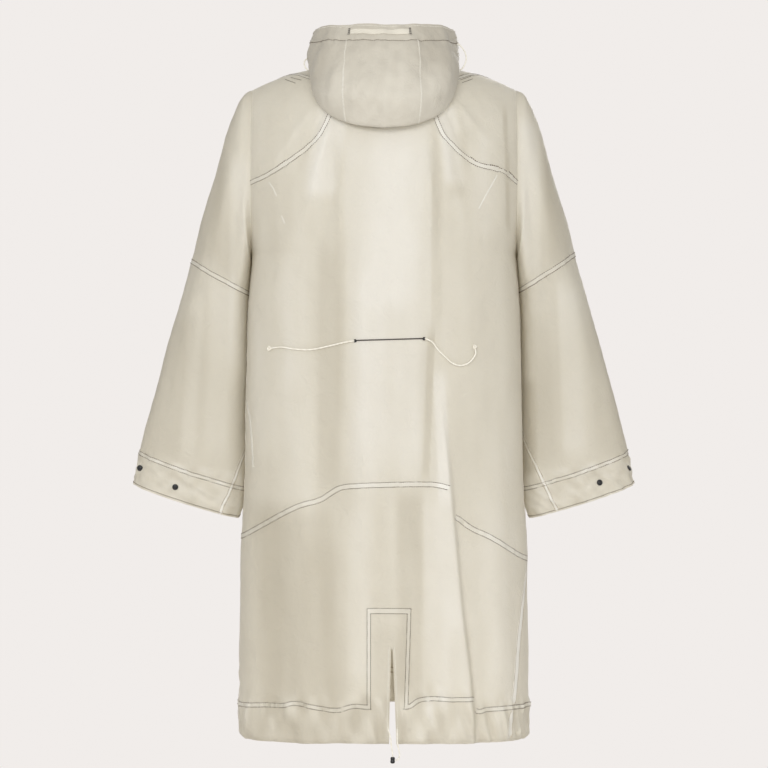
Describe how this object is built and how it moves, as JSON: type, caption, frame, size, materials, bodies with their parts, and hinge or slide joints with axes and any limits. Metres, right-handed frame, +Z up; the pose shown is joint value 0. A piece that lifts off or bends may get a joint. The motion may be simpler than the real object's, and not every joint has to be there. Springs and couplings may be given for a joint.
{
  "type": "hooded parka",
  "caption": "Long loose hooded parka in thin off-white cloth, filled out with no wearer: fishtail back with hem vent, wide sleeves, folded-down hood and drawcords.",
  "frame": {"origin": "centre of the neckline at shoulder height, where the wearer carries the garment", "axes": "+X towards the wearer's right as seen from behind, +Y towards the garment's front, +Z up"},
  "size_m": [0.8768, 0.3499, 1.2537],
  "materials": {
    "back_upper": "thin crisp off-white nylon",
    "back_lower": "thin crisp off-white nylon",
    "hem_band_back_left": "thin crisp off-white nylon",
    "hem_band_back_right": "thin crisp off-white nylon",
    "vent_panel": "thin crisp off-white nylon",
    "front_left": "thin crisp off-white nylon",
    "front_right": "thin crisp off-white nylon",
    "hem_band_front_left": "thin crisp off-white nylon",
    "hem_band_front_right": "thin crisp off-white nylon",
    "front_placket": "thin crisp off-white nylon",
    "yoke_left": "thin crisp off-white nylon",
    "yoke_right": "thin crisp off-white nylon",
    "sleeve_upper_left": "thin crisp off-white nylon",
    "sleeve_upper_right": "thin crisp off-white nylon",
    "sleeve_lower_left": "thin crisp off-white nylon",
    "sleeve_lower_right": "thin crisp off-white nylon",
    "cuff_left": "thin crisp off-white nylon",
    "cuff_right": "thin crisp off-white nylon",
    "hood_center": "thin crisp off-white nylon",
    "hood_side_left": "thin crisp off-white nylon",
    "hood_side_right": "thin crisp off-white nylon",
    "hood_edge_band": "thin crisp off-white nylon",
    "hood_strap": "cream woven tape",
    "waist_slot": "dark stitching and tape",
    "cuff_snap_left_outer": "black moulded plastic",
    "cuff_snap_left_inner": "black moulded plastic",
    "cuff_snap_right_outer": "black moulded plastic",
    "cuff_snap_right_inner": "black moulded plastic",
    "hem_toggle": "black moulded plastic",
    "waist_cord_left": "cream braided cord",
    "waist_cord_right": "cream braided cord",
    "hood_cord_left": "cream braided cord",
    "hood_cord_right": "cream braided cord",
    "hem_cord_left": "cream braided cord",
    "hem_cord_right": "cream braided cord"
  },
  "bodies": {
    "root": {"back_upper": "back_upper", "back_lower": "back_lower", "hem_band_back_left": "hem_band_back_left", "hem_band_back_right": "hem_band_back_right", "vent_panel": "vent_panel", "front_left": "front_left", "front_right": "front_right", "hem_band_front_left": "hem_band_front_left", "hem_band_front_right": "hem_band_front_right", "front_placket": "front_placket", "yoke_left": "yoke_left", "yoke_right": "yoke_right", "sleeve_upper_left": "sleeve_upper_left", "sleeve_upper_right": "sleeve_upper_right", "sleeve_lower_left": "sleeve_lower_left", "sleeve_lower_right": "sleeve_lower_right", "cuff_left": "cuff_left", "cuff_right": "cuff_right", "hood_center": "hood_center", "hood_side_left": "hood_side_left", "hood_side_right": "hood_side_right", "hood_edge_band": "hood_edge_band", "hood_strap": "hood_strap", "waist_slot": "waist_slot", "hem_toggle": "hem_toggle", "cuff_snap_left_outer": "cuff_snap_left_outer", "cuff_snap_left_inner": "cuff_snap_left_inner", "cuff_snap_right_outer": "cuff_snap_right_outer", "cuff_snap_right_inner": "cuff_snap_right_inner", "waist_cord_left": "waist_cord_left", "waist_cord_right": "waist_cord_right", "hood_cord_left": "hood_cord_left", "hood_cord_right": "hood_cord_right", "hem_cord_left": "hem_cord_left", "hem_cord_right": "hem_cord_right"}
  },
  "joints": []
}
